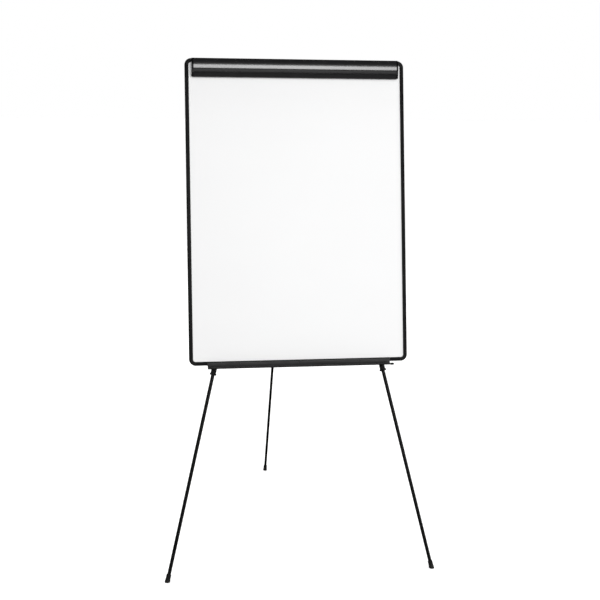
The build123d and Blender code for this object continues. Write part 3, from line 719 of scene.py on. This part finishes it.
# each leg's end and the point where it bends into the coil, as Y and height above the rod
BASE_END = (-3.0, 13.0)
BASE_BEND = (-8.6, 1.2)
HOOD_BEND = (-15.3, 1.2)
HOOD_END = (-16.3, 14.0)


def wire(path):
    """Rings of a round wire along a path of points in metres, without twist."""
    count = len(path)
    ways = [(path[min(i + 1, count - 1)] - path[max(i - 1, 0)]).normalized() for i in range(count)]
    side = ways[0].orthogonal().normalized()
    rings = []
    for i, (point, way) in enumerate(zip(path, ways)):
        if i:
            side = ways[i - 1].rotation_difference(way) @ side
        other = way.cross(side)
        angles = [2 * math.pi * k / WIRE_SEGMENTS for k in range(WIRE_SEGMENTS)]
        rings.append([
            point + (side * math.cos(a) + other * math.sin(a)) * WIRE_R * MM for a in angles
        ])
    return rings


def spring(name, side):
    """Torsion spring beside its lug: one leg on the base rail, the other inside the hood."""
    near = SPRING_LUG_X + SPRING_SIDE - COIL_L / 2
    far = near + COIL_L
    hinge_z = BOARD_TOP - HINGE_DROP
    points = [Vector((near, y, hinge_z + above)) for y, above in (BASE_END, BASE_BEND)]
    for k in range(COIL_STEPS + 1):
        part = k / COIL_STEPS
        turned = 2 * math.pi * COIL_TURNS * part
        points.append(Vector((
            near + COIL_L * part,
            HINGE_Y + COIL_R * math.cos(turned),
            hinge_z - COIL_R * math.sin(turned),
        )))
    points += [Vector((far, y, hinge_z + above)) for y, above in (HOOD_BEND, HOOD_END)]
    path = [BOARD_FRAME @ Vector((side * p.x, p.y, p.z)) for p in points]
    draw = lambda bm: join_rings(bm, wire(path))
    piece = new_piece(name, "retainer_springs", "spring_steel", draw)
    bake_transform(piece)


frame_pieces()
spring("retainer_spring_left", -1)
spring("retainer_spring_right", 1)
for leg_name, radius in (
    ("left_leg", FRONT_LOWER_R), ("right_leg", FRONT_LOWER_R), ("rear_leg", REAR_LOWER_R)
):
    this_leg = Leg(leg_name, radius)
    lock_body(this_leg)
    lock_ring(this_leg)
    foot(this_leg)

# ---- camera ----------------------------------------------------------------------------------
CAMERA_AZIMUTH = math.radians(-8.914)
CAMERA_ELEVATION = math.radians(11.773)
CAMERA_ROLL = math.radians(0.862)
CAMERA_DISTANCE = 3.6332
CAMERA_TARGET = BOARD_ORIGIN + Vector((-0.0241, 0, 0.9522))
LENS = 68.54

back = Vector((
    math.sin(CAMERA_AZIMUTH) * math.cos(CAMERA_ELEVATION),
    -math.cos(CAMERA_AZIMUTH) * math.cos(CAMERA_ELEVATION),
    math.sin(CAMERA_ELEVATION),
))
right = (-back).cross(Vector((0, 0, 1))).normalized()
up = right.cross(-back)
roll_right = right * math.cos(CAMERA_ROLL) + up * math.sin(CAMERA_ROLL)
roll_up = up * math.cos(CAMERA_ROLL) - right * math.sin(CAMERA_ROLL)
camera_data = bpy.data.cameras.new("camera")
camera_data.lens = LENS
camera_data.sensor_width = 36
camera = bpy.data.objects.new("camera", camera_data)
camera.matrix_world = Matrix.Translation(CAMERA_TARGET + back * CAMERA_DISTANCE) @ Matrix((
    (roll_right.x, roll_up.x, back.x, 0),
    (roll_right.y, roll_up.y, back.y, 0),
    (roll_right.z, roll_up.z, back.z, 0),
    (0, 0, 0, 1),
))
bpy.context.scene.collection.objects.link(camera)
bpy.context.scene.camera = camera


# ---- studio ----------------------------------------------------------------------------------
ROOM_SEEN = 1.0
ROOM_LIGHT = 0.2
ROOM_REFLECTED = 0.045
FLOOR_GLOW = 0.4


def floor():
    """Plain pale floor, large enough to fill every view. It gives no bounce and no reflection."""
    mesh = bpy.data.meshes.new("studio_floor")
    half = 30.0
    mesh.from_pydata(
        [(-half, -half, 0), (half, -half, 0), (half, half, 0), (-half, half, 0)], [], [(0, 1, 2, 3)]
    )
    piece = bpy.data.objects.new("studio_floor", mesh)
    bpy.context.scene.collection.objects.link(piece)
    m = Finish("studio_floor", 0.9, Specular_IOR_Level=0.0)
    m.shader.inputs["Base Color"].default_value = (0.85, 0.85, 0.85, 1)
    m.shader.inputs["Emission Color"].default_value = (1, 1, 1, 1)
    m.shader.inputs["Emission Strength"].default_value = FLOOR_GLOW
    mesh.materials.append(m.material)
    piece.visible_glossy = False
    piece.visible_diffuse = False


def soft_light(name, place, target, size, power, glossy=True):
    """Rectangular soft light that the camera doesn't see."""
    data = bpy.data.lights.new(name, "AREA")
    data.shape = "RECTANGLE"
    data.size, data.size_y = size
    data.energy = power
    light = bpy.data.objects.new(name, data)
    light.location = place
    light.rotation_euler = (Vector(target) - Vector(place)).to_track_quat("-Z", "Y").to_euler()
    light.visible_camera = False
    light.visible_glossy = glossy
    bpy.context.scene.collection.objects.link(light)


def even_light(name, strength, spread, tilt):
    """Very soft light from far away, the same at every place, without a highlight of its own."""
    data = bpy.data.lights.new(name, "SUN")
    data.energy = strength
    data.angle = math.radians(spread)
    light = bpy.data.objects.new(name, data)
    light.rotation_euler = [math.radians(angle) for angle in tilt]
    light.visible_glossy = False
    bpy.context.scene.collection.objects.link(light)


def studio_world():
    """Even white surroundings: what shows behind, what lights, and a darker room to reflect."""
    world = bpy.data.worlds.new("studio")
    world.use_nodes = True
    tree = world.node_tree
    shown = tree.nodes["Background"]
    shown.inputs["Color"].default_value = (1, 1, 1, 1)
    path = tree.nodes.new("ShaderNodeLightPath")
    level = tree.nodes.new("ShaderNodeMix")
    level.inputs["A"].default_value = ROOM_LIGHT
    level.inputs["B"].default_value = ROOM_REFLECTED
    tree.links.new(path.outputs["Is Glossy Ray"], level.inputs["Factor"])
    seen = tree.nodes.new("ShaderNodeMix")
    seen.inputs["B"].default_value = ROOM_SEEN
    tree.links.new(path.outputs["Is Camera Ray"], seen.inputs["Factor"])
    tree.links.new(level.outputs["Result"], seen.inputs["A"])
    tree.links.new(seen.outputs["Result"], shown.inputs["Strength"])
    bpy.context.scene.world = world


floor()
studio_world()
soft_light("key_softbox", (0.7, -4.9, 2.3), (0.2, -0.3, 1.6), (2.6, 3.4), 105)
soft_light("side_softbox", (3.6, -1.6, 1.2), (0, -0.2, 0.9), (1.2, 2.4), 34)
soft_light("back_softbox", (-2.6, 4.2, 2.6), (0, 0, 1.2), (2.4, 3.0), 120)
even_light("overhead_light", 1.7, 50, (-18, 8, 0))
even_light("front_fill", 1.2, 60, (86, 0, 6))
bpy.context.scene.view_settings.view_transform = "Standard"
